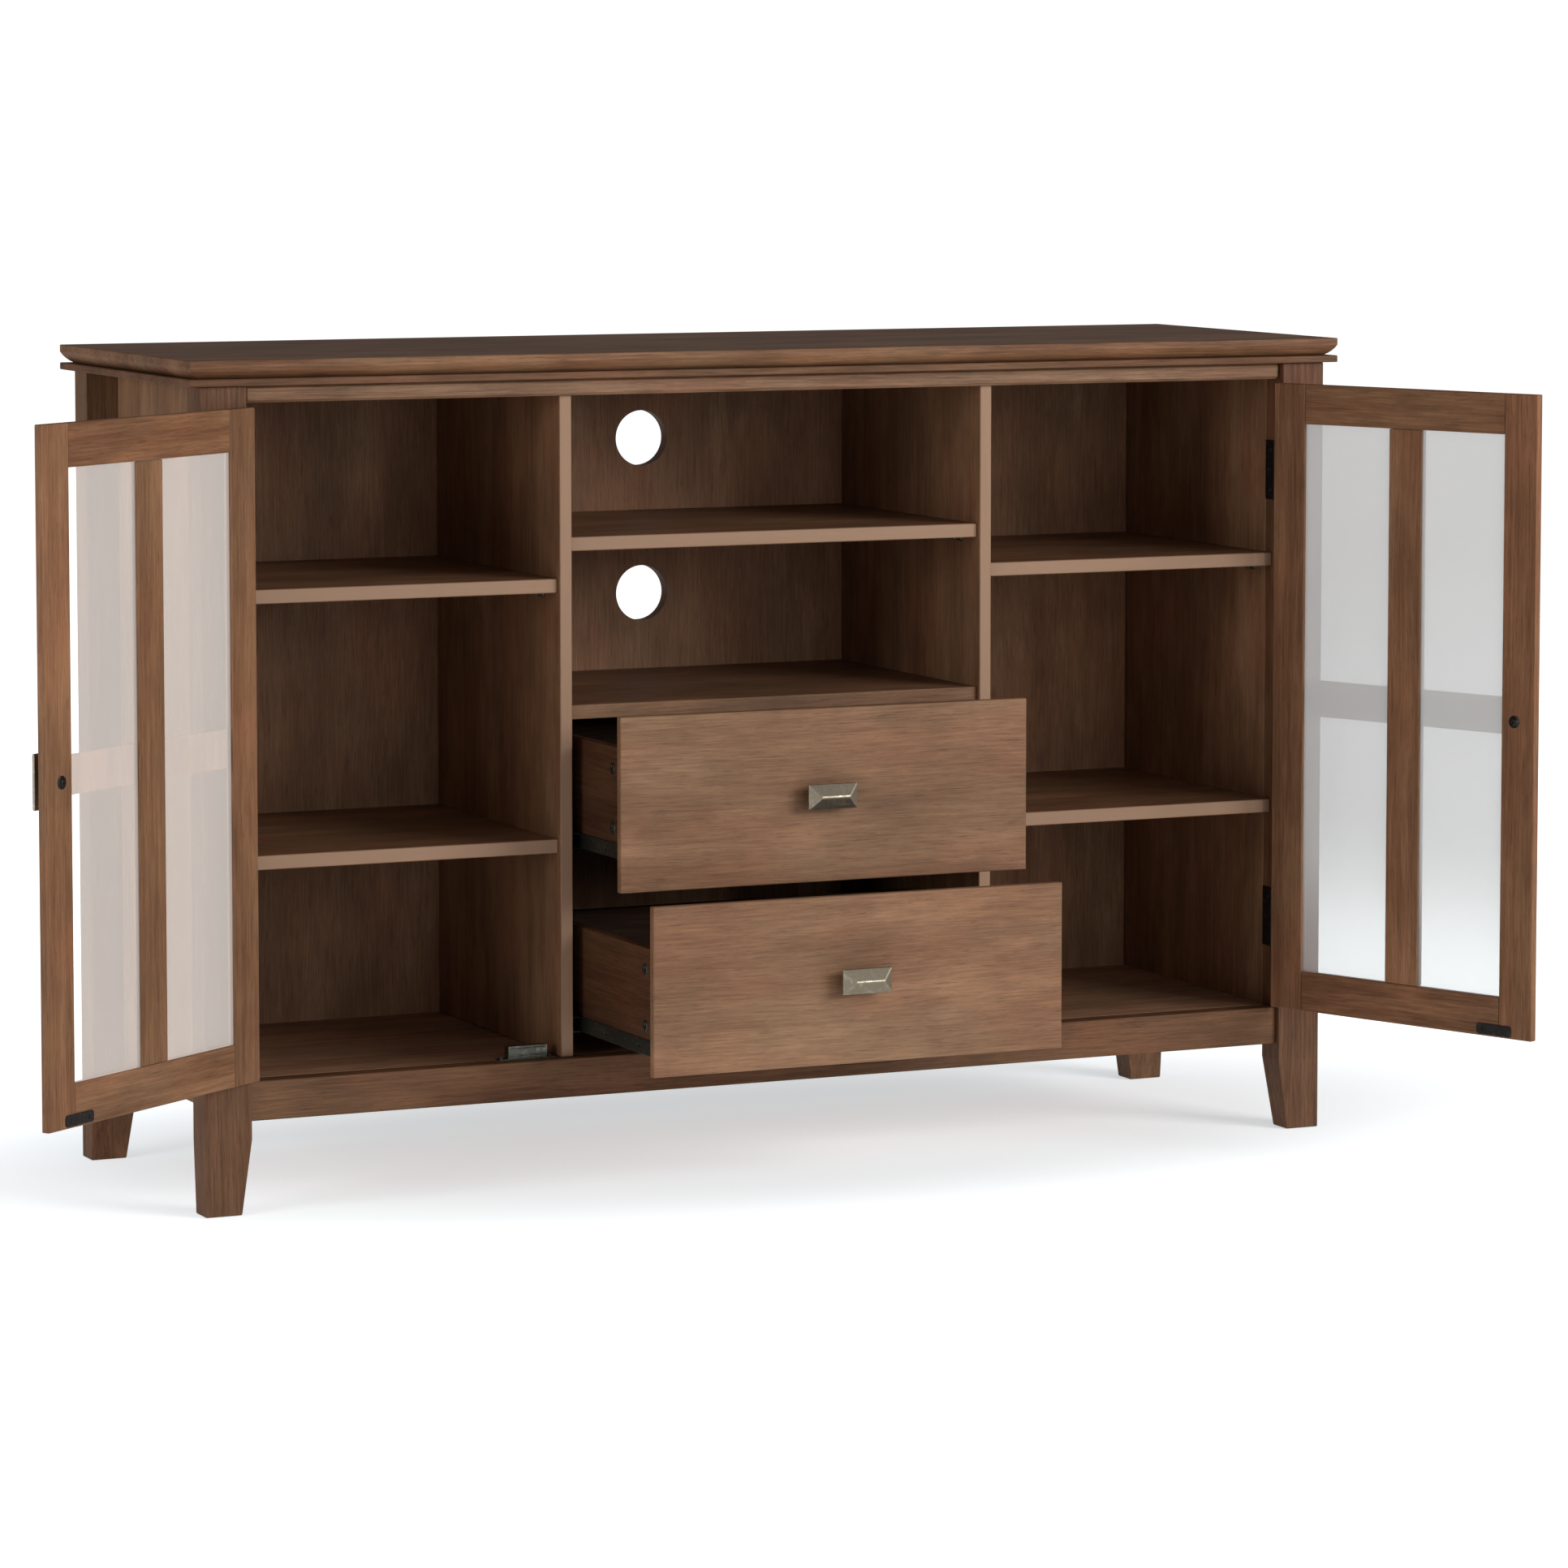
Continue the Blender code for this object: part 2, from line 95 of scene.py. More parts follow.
# ---------------------------------------------------------------- node helpers
class Nodes:
    """Short names for building a material's nodes."""

    def __init__(self, name):
        self.material = bpy.data.materials.new(name)
        self.material.use_nodes = True
        self.tree = self.material.node_tree
        self.shader = self.tree.nodes["Principled BSDF"]
        self.output = self.tree.nodes["Material Output"]

    def make(self, kind, inputs=None, **settings):
        node = self.tree.nodes.new(kind)
        for key, value in settings.items():
            setattr(node, key, value)
        for key, value in (inputs or {}).items():
            self.feed(node.inputs[key], value)
        return node

    def feed(self, socket, value):
        if isinstance(value, bpy.types.NodeSocket):
            self.tree.links.new(value, socket)
        else:
            socket.default_value = value

    def set(self, **values):
        """Feed the shader's own sockets, with _ for each space in a socket's name."""
        for key, value in values.items():
            self.feed(self.shader.inputs[key.replace("_", " ")], value)

    def object_place(self):
        return self.make("ShaderNodeTexCoord").outputs["Object"]

    def maths(self, operation, first, second, clamp=False):
        node = self.make("ShaderNodeMath", {0: first, 1: second}, operation=operation, use_clamp=clamp)
        return node.outputs[0]

    def times(self, first, second):
        return self.maths("MULTIPLY", first, second)

    def vectors(self, operation, first, second):
        return self.make("ShaderNodeVectorMath", {0: first, 1: second}, operation=operation).outputs[0]

    def length(self, vector):
        return self.make("ShaderNodeVectorMath", {0: vector}, operation="LENGTH").outputs["Value"]

    def noise(self, where, scale, detail, rough=0.55):
        node = self.make("ShaderNodeTexNoise", {"Vector": where, "Scale": scale, "Detail": detail,
                                                "Roughness": rough})
        return node.outputs["Fac"]

    def span(self, value, low, high, to_low=0.0, to_high=1.0):
        """A smooth step from one value to another while `value` goes from low to high."""
        node = self.make("ShaderNodeMapRange", {"Value": value, "From Min": low, "From Max": high,
                                                "To Min": to_low, "To Max": to_high})
        node.interpolation_type = "SMOOTHSTEP"
        return node.outputs["Result"]

    def mix(self, share, first, second, blend="MIX"):
        """Mix two colours, whose sockets are the Mix node's inputs 6 and 7 and its output 2."""
        node = self.make("ShaderNodeMix", data_type="RGBA", blend_type=blend)
        for number, value in ((0, share), (6, first), (7, second)):
            self.feed(node.inputs[number], value)
        return node.outputs[2]

    def eased_edges(self, radius, low, high, most):
        """A normal that is rounded over the edges, and a share that rises to `most` along them."""
        eased = self.make("ShaderNodeBevel", {"Radius": radius}, samples=4).outputs[0]
        true = self.make("ShaderNodeNewGeometry").outputs["Normal"]
        along = self.make("ShaderNodeVectorMath", {0: eased, 1: true}, operation="DOT_PRODUCT")
        return eased, self.span(along.outputs["Value"], low, high, most, 0.0)

    def bump(self, height, strength, distance, normal):
        return self.make("ShaderNodeBump", {"Strength": strength, "Distance": distance, "Height": height,
                                            "Normal": normal}).outputs[0]

    def show(self, share, first, second):
        """Show a mix of two shaders."""
        both = self.make("ShaderNodeMixShader", {0: share, 1: first, 2: second}).outputs[0]
        self.feed(self.output.inputs["Surface"], both)


def rgba(red, green, blue):
    return (red, green, blue, 1.0)


WHITE = (1.0, 1.0, 1.0)


# ---------------------------------------------------------------- wood
WOOD_TONES = {"dark": (0.160, 0.074, 0.037), "mid": (0.246, 0.126, 0.068), "light": (0.345, 0.190, 0.107)}
WARM_CAST, COOL_CAST = (1.04, 0.99, 0.96), (0.96, 1.01, 0.99)
FRONT_BAND = (0.308, 0.192, 0.125)       # the paler front edges of shelves and dividers
GRAIN_TURNS = {"X": (0, 0, 0), "Y": (0, 0, -math.pi / 2), "Z": (0, math.pi / 2, 0)}
SEED_STEP = (1.37, 0.73, 0.41)           # metres from one board's place in the grain to the next one's
GRAIN_WANDER = 0.014                     # metres that the grain drifts sideways
WANDER_CELLS = (1.8, 6.0, 6.0)           # noise cells a metre along the grain and across it
GRAIN_LAYERS = {                         # cells along the grain, cells across it, detail, roughness
    "cloud": (3.2, 17.0, 3.0, 0.55),     # broad pale drifts
    "band": (2.4, 75.0, 3.0, 0.60),      # growth bands
    "streak": (10.0, 330.0, 4.0, 0.65),  # streaks between the bands
    "line": (22.0, 700.0, 3.0, 0.65),    # fine lines
    "fleck": (40.0, 560.0, 2.0, 0.50),   # short dark dashes
    "cast": (5.0, 11.0, 2.0, 0.50),      # redder and greener areas
    "patch": (9.0, 16.0, 3.0, 0.60),     # blotches of stain
    "fibre": (90.0, 2600.0, 2.0, 0.50),  # pores
}
GRAIN_SHADES = {                         # noise from and to, brightness from and to
    "line": (0.34, 0.66, 0.84, 1.14),
    "fleck": (0.30, 0.40, 0.76, 1.0),
    "fibre": (0.32, 0.45, 0.80, 1.0),
    "patch": (0.32, 0.68, 0.87, 1.11),
}
BAND_SPAN, STREAK_SPAN, CAST_SPAN = (0.36, 0.64), (0.38, 0.62), (0.36, 0.64)     # noise from and to
FIGURE_REACH = 0.6                       # how far bands, and streaks, go from dark to mid at figure 1
LIGHT_SPAN = (0.44, 0.72, 0.0, 0.50)     # cloud from and to, share of the light tone from and to
FRONT_SPAN = (-0.95, -0.5, 0.85, 0.0)    # the normal's Y from and to, share of the front band
EDGE_WEAR_AND_HIGHLIGHT_SPAN = (0.30, 0.60, 0.35, 1.0)      # cloud from and to, share of the edge wear and painted highlight that shows from and to
WOOD_EASE = (0.0012, 0.80, 0.995, 0.55)  # eased edges, paler from wear and a painted highlight, as Nodes.eased_edges takes them
LINE_RELIEF, PORE_RELIEF = 0.5, 0.6      # what lines and pores add to the height of the bumps
WOOD_BUMP = (0.16, 0.0005)               # strength, and metres
WOOD_ROUGHNESS = (0.3, 0.7, 0.62, 0.50)  # streak from and to, roughness from and to
WOOD_GLOSS = {"IOR": 1.45, "Specular_IOR_Level": 0.22}


def wood(name, stain_and_shade, grain, seed, turn, banded, figure):
    """Stained wood with its grain along X, Y or Z, or along a door's width that `turn` gives.

    `figure` says how strongly the stain shows the grain; `banded` boards have a paler front edge.
    """
    made = Nodes(name)
    # the tint scales the tones for the part's stain, and for painted shade and painted light
    tones = {key: rgba(*(part * share for part, share in zip(tone, stain_and_shade)))
             for key, tone in WOOD_TONES.items()}
    angles = (0, 0, turn) if grain == "door" else GRAIN_TURNS[grain]
    start = [seed * step for step in SEED_STEP]
    here = made.make("ShaderNodeMapping", {"Vector": made.object_place(), "Rotation": angles,
                                           "Location": start}).outputs[0]
    wander = made.noise(made.vectors("MULTIPLY", here, WANDER_CELLS), scale=1.0, detail=2.0)
    drift = made.times(made.maths("SUBTRACT", wander, 0.5), GRAIN_WANDER)
    sideways = made.make("ShaderNodeCombineXYZ", {"Y": drift, "Z": drift}).outputs[0]
    point = made.vectors("ADD", here, sideways)
    layers = {key: made.noise(made.vectors("MULTIPLY", point, (along, across, across)), 1.0, detail, rough)
              for key, (along, across, detail, rough) in GRAIN_LAYERS.items()}
    shades = {key: made.span(layers[key], *span) for key, span in GRAIN_SHADES.items()}

    reach = FIGURE_REACH * figure
    low = 0.5 - reach
    depth = made.maths("ADD", made.span(layers["band"], *BAND_SPAN, low, low + reach),
                       made.span(layers["streak"], *STREAK_SPAN, 0.0, reach))
    colour = made.mix(depth, tones["dark"], tones["mid"])
    colour = made.mix(made.span(layers["cloud"], *LIGHT_SPAN), colour, tones["light"])
    fine = made.times(made.times(shades["line"], shades["fleck"]),
                      made.times(shades["fibre"], shades["patch"]))
    grey = made.make("ShaderNodeCombineColor", {0: fine, 1: fine, 2: fine}).outputs[0]
    colour = made.mix(1.0, colour, grey, "MULTIPLY")
    cast = made.mix(made.span(layers["cast"], *CAST_SPAN), rgba(*WARM_CAST), rgba(*COOL_CAST))
    colour = made.mix(1.0, colour, cast, "MULTIPLY")
    if banded:
        faces = made.make("ShaderNodeSeparateXYZ", {0: made.make("ShaderNodeTexCoord").outputs["Normal"]})
        colour = made.mix(made.span(faces.outputs["Y"], *FRONT_SPAN), colour, rgba(*FRONT_BAND))

    eased, edge = made.eased_edges(*WOOD_EASE)
    # paler along the eased edges: wear, and a painted highlight
    pale_edges = made.times(edge, made.span(layers["cloud"], *EDGE_WEAR_AND_HIGHLIGHT_SPAN))
    height = made.maths("ADD", made.times(layers["line"], LINE_RELIEF),
                        made.times(shades["fibre"], PORE_RELIEF))
    made.set(Base_Color=made.mix(pale_edges, colour, tones["light"]),
             Roughness=made.span(layers["streak"], *WOOD_ROUGHNESS),
             Normal=made.bump(height, *WOOD_BUMP, eased), **WOOD_GLOSS)
    return made.material


# ---------------------------------------------------------------- metals and glass
METAL_EASE = (0.0010, 0.86, 0.999, 1.0)  # rubbed edges, as Nodes.eased_edges takes them
METAL_BUMP = (0.15, 0.0002)              # strength, and metres
MOTTLE, PITTING = (170.0, 4.0, 0.6), (1400.0, 2.0, 0.5)          # cells a metre, detail, roughness
RUBBED_SPAN = (0.48, 0.75, 0.0, 0.35)    # mottle from and to, share of the worn colour from and to
POLISH_SPAN = (0.3, 0.7)                 # mottle over which the metal goes from rougher to smoother
ROUGHER, SMOOTHER = 0.08, 0.06

PANE_MOTTLE, PANE_MOTTLE_SHIFT = (7.0, 2.0), 0.02   # cells a metre and detail of a noise that mottles the painted reflection, and metres it moves that reflection's fade
PAINTED_REFLECTION_FADE = (0.17, 0.42)                 # heights on a pane between which its painted reflection changes
PAINTED_REFLECTION_SLANT = (0.04, 0.24, 0.30, 1.0)     # slant from and to, share of the painted reflection that shows from and to
PAINTED_REFLECTION_IN_SHADOW = 0.2                     # share of the painted reflection that lamps meet
PAINTED_REFLECTION_WHITER = (0.3, 0.7, 0.0, 0.06)      # mottle from and to, share of white in the painted reflection from and to
PAINTED_REFLECTION_ROUGHNESS = (0.3, 0.7, 0.10, 0.16)  # mottle from and to, roughness from and to
GLASS_TINT = (0.985, 0.99, 0.985)
GLASS_GLOSS = {"IOR": 1.45, "Specular_IOR_Level": 0.2}
PANES = {                                # clear_top and clear_low: shares that show through the painted reflection; the other two give its colour and how much it glows as painted light
    "left": {"clear_top": 0.82, "clear_low": 0.82, "painted_reflection_colour": (0.93, 0.86, 0.81), "painted_glow": 0.58},
    "right": {"clear_top": 0.38, "clear_low": 0.68, "painted_reflection_colour": (0.79, 0.785, 0.785), "painted_glow": 0.0},
}


def metal(name, colour, pale_edges, roughness, metallic, wear):
    """Cast or pressed metal: mottled, with the colour rubbed off along its edges."""
    made = Nodes(name)
    place = made.object_place()
    mottle = made.noise(place, *MOTTLE)
    eased, edge = made.eased_edges(*METAL_EASE)
    rubbed = made.maths("ADD", made.times(edge, wear), made.span(mottle, *RUBBED_SPAN), clamp=True)
    made.set(Base_Color=made.mix(rubbed, rgba(*colour), rgba(*pale_edges)), Metallic=metallic,
             Roughness=made.span(mottle, *POLISH_SPAN, roughness + ROUGHER, roughness - SMOOTHER),
             Normal=made.bump(made.noise(place, *PITTING), *METAL_BUMP, eased))
    return made.material


def pane(name, clear_top, clear_low, painted_reflection_colour, painted_glow):
    """Glass under a thin pale sheet, lit and glowing, that is a painted reflection of the studio.

    It is clear by clear_low at the bottom and clear_top at the top, and clearer seen straight on.
    """
    made = Nodes(name)
    place = made.object_place()
    height = made.make("ShaderNodeSeparateXYZ", {0: place}).outputs["Z"]
    pane_mottle = made.noise(place, *PANE_MOTTLE)
    rise = made.span(made.maths("ADD", height, made.times(pane_mottle, PANE_MOTTLE_SHIFT)), *PAINTED_REFLECTION_FADE)
    slant = made.make("ShaderNodeLayerWeight", {"Blend": 0.5}).outputs["Facing"]
    shadow = made.make("ShaderNodeLightPath").outputs["Is Shadow Ray"]
    painted_reflection_cover = made.times(made.span(rise, 0.0, 1.0, 1 - clear_low, 1 - clear_top),
                       made.span(slant, *PAINTED_REFLECTION_SLANT))
    painted_reflection_cover = made.times(painted_reflection_cover, made.span(shadow, 0.0, 1.0, 1.0, PAINTED_REFLECTION_IN_SHADOW))
    # colour of the painted reflection, whiter in places
    colour = made.mix(made.span(pane_mottle, *PAINTED_REFLECTION_WHITER), rgba(*painted_reflection_colour), rgba(*WHITE))
    made.set(Base_Color=colour, Roughness=made.span(pane_mottle, *PAINTED_REFLECTION_ROUGHNESS), **GLASS_GLOSS)
    # the sheet glows: painted light that stands in for the studio's reflection
    made.set(Emission_Color=colour, Emission_Strength=painted_glow)
    through = made.make("ShaderNodeBsdfTransparent", {"Color": rgba(*GLASS_TINT)}).outputs[0]
    made.show(painted_reflection_cover, through, made.shader.outputs[0])
    return made.material


STEEL = metal("blackened_steel_finish", colour=(0.020, 0.019, 0.017), pale_edges=(0.085, 0.080, 0.070),
              roughness=0.42, metallic=0.85, wear=0.35)
PEWTER = metal("antique_pewter_finish", colour=(0.30, 0.255, 0.19), pale_edges=(0.76, 0.70, 0.60),
               roughness=0.42, metallic=1.0, wear=0.75)
ZINC = metal("zinc_finish", colour=(0.115, 0.120, 0.100), pale_edges=(0.50, 0.50, 0.45),
             roughness=0.38, metallic=1.0, wear=0.5)
RUNNER_STEEL = metal("runner_steel_finish", colour=(0.050, 0.053, 0.045), pale_edges=(0.20, 0.205, 0.18),
                     roughness=0.42, metallic=0.9, wear=0.5)

# ---------------------------------------------------------------- finishes, painted shade and painted light for the CAD nodes
ALONG_X = ("top_slab", "sub_top", "front_top_rail", "front_bottom_rail", "bottom_panel", "shelf")
STAIN_AND_SHADE_TINTS = {                                # the part's stain, with painted shade on parts in shade, such as the drawers' insides, the bottom front rail, the sub-top and the lattice, and painted light on the bottom panel; by the end of its name
    "drawer_front": (0.97, 1.00, 1.04),
    "_side": (0.31, 0.25, 0.22),
    "drawer_back": (0.28, 0.23, 0.20),
    "drawer_bottom": (0.34, 0.28, 0.24),
    "fixed_shelf": (0.80, 0.80, 0.82),
    "front_bottom_rail": (0.57, 0.51, 0.46),
    "front_top_rail": (0.92, 0.96, 1.04),
    "shelf": (0.94, 0.93, 0.92),
    "door_hinge_stile": (0.86, 0.79, 0.75),
    "door_free_stile": (0.97, 0.89, 0.82),
    "mullion": (0.90, 0.84, 0.78),
    "lattice": (0.76, 0.70, 0.65),
    "rail": (0.92, 0.85, 0.79),
    "front_left": (0.59, 0.53, 0.49),
    "front_right": (0.56, 0.49, 0.46),
    "back_left": (0.62, 0.58, 0.55),
    "back_right": (0.62, 0.58, 0.55),
    "top_slab": (0.82, 0.80, 0.76),
    "sub_top": (0.56, 0.51, 0.46),
    "bottom_panel": (1.30, 1.38, 1.55),
}
FIGURES = {                              # how strongly it shows the grain, by the end of its name
    "back_panel": 0.25, "drawer_front": 0.32, "divider_left": 0.5, "divider_right": 0.5,
    "side_panel_left": 0.5, "side_panel_right": 0.5, "shelf": 0.6, "mullion": 0.75, "stile": 0.8,
}
PLAIN_STAIN_AND_SHADE, PLAIN_FIGURE = (1.0, 1.0, 1.0), 1.0


def grain_of(node):
    if "drawer" in node:
        return "Y" if node.endswith("_side") else "X"
    if node.endswith(("door_top_rail", "door_bottom_rail")):
        return "door"
    return "X" if node.endswith(ALONG_X) else "Z"


def tuned(table, node, usual):
    """The table's entry for the ending of this node's name."""
    return next((value for ending, value in table.items() if node.endswith(ending)), usual)


def finish_nodes():
    slots = {part["node"]: part["material_slot"] for part in frame["record"]["subparts"]}
    turns = {side_name: closing_turn(side_name) for side_name in SIDES}
    panes = {side_name: pane(f"{side_name}_pane_glass", **look) for side_name, look in PANES.items()}
    for seed, (node, obj) in enumerate(sorted(NODES.items()), start=1):
        slot = slots[node]
        side_name = node.split("_")[0]
        if slot.endswith("_wood"):
            banded = (node.endswith("shelf") or "divider" in node) and node != "fixed_shelf"
            look = wood(f"{node}_wood", tuned(STAIN_AND_SHADE_TINTS, node, PLAIN_STAIN_AND_SHADE), grain_of(node), seed,
                        turns.get(side_name, 0.0), banded, tuned(FIGURES, node, PLAIN_FIGURE))
        elif slot == "clear_glass":
            look = panes[side_name]
        else:
            look = {"antique_pewter": PEWTER, "blackened_steel": STEEL}[slot]
        obj.data.materials.clear()
        obj.data.materials.append(look)


finish_nodes()


# ---------------------------------------------------------------- shapes for the small hardware
FACING = {"+x": Matrix.Rotation(math.pi / 2, 4, "Y"), "-x": Matrix.Rotation(-math.pi / 2, 4, "Y"),
          "+y": Matrix.Rotation(-math.pi / 2, 4, "X"), "+z": Matrix.Identity(4)}
CORNER_STEPS, DISC_STEPS = 6, 20
SHARP_ANGLE = math.radians(32)           # edges that turn more than this are drawn sharp
DOME = ((1.0, 0.0), (0.98, 0.35), (0.86, 0.78), (0.66, 1.0))    # a head's shares of radius and height
CROSS_ARM, CROSS_HALF = 0.55, 0.14       # a cross recess's arm and half its width, by head radius
CROSS_FLOOR, CROSS_TAPER = 0.35, 0.75    # height of its floor by head height, and its size there


def at(facing, x, y, z):
    """A flat place at that point, whose own +Z is the way that the surface faces."""
    return Matrix.Translation((x, y, z)) @ FACING[facing]


def moved(place, x=0.0, y=0.0, z=0.0):
    """That place moved along its own axes."""
    return place @ Matrix.Translation((x, y, z))


def outward(side):
    """The ways away from the centre plane and towards it, on that side."""
    return ("+x", "-x") if side > 0 else ("-x", "+x")


def rounded(wide, tall, radius, centre=(0.0, 0.0)):
    """Outline of a rectangle with round corners."""
    points = []
    for quarter, (sx, sy) in enumerate(((1, 1), (-1, 1), (-1, -1), (1, -1))):
        for step in range(CORNER_STEPS + 1):
            turn = math.pi / 2 * (quarter + step / CORNER_STEPS)
            points.append((centre[0] + sx * (wide / 2 - radius) + radius * math.cos(turn),
                           centre[1] + sy * (tall / 2 - radius) + radius * math.sin(turn)))
    return points


def disc(radius, centre=(0.0, 0.0)):
    turns = [2 * math.pi * step / DISC_STEPS for step in range(DISC_STEPS)]
    return [(centre[0] + radius * math.cos(turn), centre[1] + radius * math.sin(turn)) for turn in turns]


def loop_of(shape, points, height, place):
    """The vertices and edges of a closed outline at that height."""
    verts = [shape.verts.new(place @ Vector((u, v, height))) for u, v in points]
    return verts, [shape.edges.new(pair) for pair in zip(verts, verts[1:] + verts[:1])]


def wall(shape, low, high):
    """Faces between two outlines that have the same number of points."""
    for here in range(len(low)):
        after = (here + 1) % len(low)
        shape.faces.new((low[here], low[after], high[after], high[here]))


def prism(shape, loops, low, high, place):
    """Solid between two heights; the first loop is its outline and the others are holes through it."""
    ends = [[loop_of(shape, loop, height, place) for loop in loops] for height in (low, high)]
    for rims in ends:
        bmesh.ops.triangle_fill(shape, use_beauty=True, edges=[edge for _, edges in rims for edge in edges])
    for (under, _), (over, _) in zip(*ends):
        wall(shape, under, over)


def turned(shape, profile, place):
    """Round solid from (radius, height) pairs, closed at both ends."""
    rings = [loop_of(shape, disc(radius), height, place)[0] for radius, height in profile]
    for low, high in zip(rings, rings[1:]):
        wall(shape, low, high)
    shape.faces.new(rings[0])
    shape.faces.new(rings[-1])


def screw_head(shape, size, place, reach=CROSS_ARM):
    """Domed head, of that radius and height, with a cross recess, on the surface at `place`."""
    radius, height = size
    rings = [loop_of(shape, disc(radius * share), height * rise, place) for share, rise in DOME]
    for (low, _), (high, _) in zip(rings, rings[1:]):
        wall(shape, low, high)
    shape.faces.new(rings[0][0])
    arm, half = radius * reach, radius * CROSS_HALF
    cross = [(arm, -half), (arm, half), (half, half), (half, arm), (-half, arm), (-half, half),
             (-arm, half), (-arm, -half), (-half, -half), (-half, -arm), (half, -arm), (half, -half)]
    mouth, mouth_edges = loop_of(shape, cross, height, place)
    floor = [(CROSS_TAPER * u, CROSS_TAPER * v) for u, v in cross]
    pit = loop_of(shape, floor, height * CROSS_FLOOR, place)[0]
    bmesh.ops.triangle_fill(shape, use_beauty=True, edges=rings[-1][1] + mouth_edges)
    wall(shape, pit, mouth)
    shape.faces.new(pit)


def piece(name, shape, look, body, ease=0.0):
    """Make an object of the shape, put it where its body stands and let it ride there."""
    bmesh.ops.recalc_face_normals(shape, faces=shape.faces)
    mesh = bpy.data.meshes.new(name)
    shape.to_mesh(mesh)
    shape.free()
    mesh.shade_smooth()
    mesh.set_sharp_from_angle(angle=SHARP_ANGLE)
    mesh.materials.append(look)
    obj = bpy.data.objects.new(name, mesh)
    bpy.context.scene.collection.objects.link(obj)
    obj.matrix_world = PLACES[body]
    if ease:
        bevel = obj.modifiers.new("ease", "BEVEL")
        bevel.width, bevel.segments, bevel.limit_method = ease, 2, "ANGLE"
    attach(obj, body)


# ---------------------------------------------------------------- small hardware, drawn closed
GAP = 0.0003                             # between neighbours, as in the CAD
LEAF_THICK = 0.0011                      # of a hinge leaf, as in the CAD
RUNNER_GAUGE, RUNNER_TALL = 0.0014, 0.017    # of a runner's steel and its channel, as in the CAD

SCREWS = {                               # a head's radius and height
    "strike": (0.0020, 0.0007),
    "knob": (0.0046, 0.0020),
    "door_leaf": (0.0021, 0.0004),
    "frame_leaf": (0.0030, 0.0007),
    "catch": (0.0028, 0.0014),
    "member": (0.0014, 0.0012),
    "cam": (0.0052, 0.0006),
    "runner": (0.0030, 0.0011),
}
HINGE_SCREWS = (-0.0225, 0.0, 0.0225)    # heights from the middle of a leaf
DOOR_LEAF_INSETS = (0.0040, 0.0040, 0.0040)      # the same screws from the leaf's rear edge
FRAME_LEAF_INSETS = (0.0115, 0.0075, 0.0115)

KNOB_IN, KNOB_Z = 0.0268, 0.4858         # a door knob from the door's free edge, and its height
KNOB_WASHER = ((0.0068, 0.0), (0.0068, 0.0006), (0.0060, 0.0010))

STRIKE_IN, STRIKE_UP = 0.0500, 0.0078    # a strike plate's middle from the door's free and bottom edges
STRIKE_PLATE, STRIKE_THICK = (0.0465, 0.0120, 0.0035), 0.0011    # length, height, corner radius
STRIKE_HOLES, STRIKE_HOLE_R = (-0.0145, 0.0145), 0.0021
STRIKE_EASE = 0.0002

CATCH_X, CATCH_Y = 0.290, -0.1745        # a magnetic catch's middle on the bottom panel
CATCH_BASE, CATCH_BASE_THICK = (0.0660, 0.0150, 0.0020), 0.0012  # length, depth, corner radius
CATCH_SLOT = (0.0060, 0.0042, 0.0020)
CATCH_SLOTS = ((-0.0275, 0.0015), (0.0275, 0.0015))              # places on the base
CATCH_HOUSING, CATCH_TALL = (0.0450, 0.0120, 0.0012), 0.0145
CATCH_POLE, CATCH_POLE_THICK = (0.0400, 0.0150, 0.0006), 0.0012
CATCH_POLES = (0.0042, 0.0112)           # heights of the undersides of the two pole strips
CATCH_EASE = 0.0003

SHELF_PIN = ((0.0044, 0.0), (0.0044, 0.0012), (0.0030, 0.0016), (0.0030, 0.0088), (0.0024, 0.0096))
SHELF_PIN_IN, SHELF_PIN_DROP = 0.040, 0.0031     # from the shelf's front or back edge, and below it

MEMBER_WIDE, MEMBER_THICK, MEMBER_CORNER = 0.0160, 0.0020, 0.0030
MEMBER_SHORT, MEMBER_EASE = 0.004, 0.0003        # how much shorter than the drawer's side, and its bevel
MEMBER_HOLE = (0.0032, 0.0090, 0.0015)   # width, length, corner radius
MEMBER_HOLES = (-0.36, -0.1, 0.2)        # places from the middle, by the length of the drawer's side
ROLLER = ((0.0020, 0.0020), (0.0020, 0.0030), (0.0060, 0.0031), (0.0062, 0.0040), (0.0062, 0.0082),
          (0.0056, 0.0088))
ROLLER_IN = 0.014                        # from the side's rear end

CAM_RIM = ((0.0064, 0.0), (0.0064, 0.0003), (0.0060, 0.0005))
CAM_IN, CAM_RISES = 0.034, (0.27, 0.80)  # from the side's front end, and up it by its height
CAM_CROSS = 0.70                         # its cross recess's arm, by head radius
RUNNER_SCREWS = (0.08, 0.42, 0.86)       # places along a runner, by its length


def knob_bolt(body, x, y, z):
    """Washer and screw head behind a knob, on the back of its door or drawer front."""
    bolt = bmesh.new()
    where = at("+y", x, y, z)
    turned(bolt, KNOB_WASHER, where)
    screw_head(bolt, SCREWS["knob"], moved(where, z=KNOB_WASHER[-1][1]))
    piece(f"{body}_knob_bolt", bolt, STEEL, body)


def leaf_screws(leaf, body, kind, facing, face, insets):
    """Column of screws down a hinge leaf, on the surface at x = `face`."""
    low, high = closed_box(leaf, body)
    middle = (low.z + high.z) / 2
    screws = bmesh.new()
    for rise, inset in zip(HINGE_SCREWS, insets):
        screw_head(screws, SCREWS[kind], at(facing, face, high.y - inset, middle + rise))
    piece(f"{leaf}_screws", screws, STEEL, body)


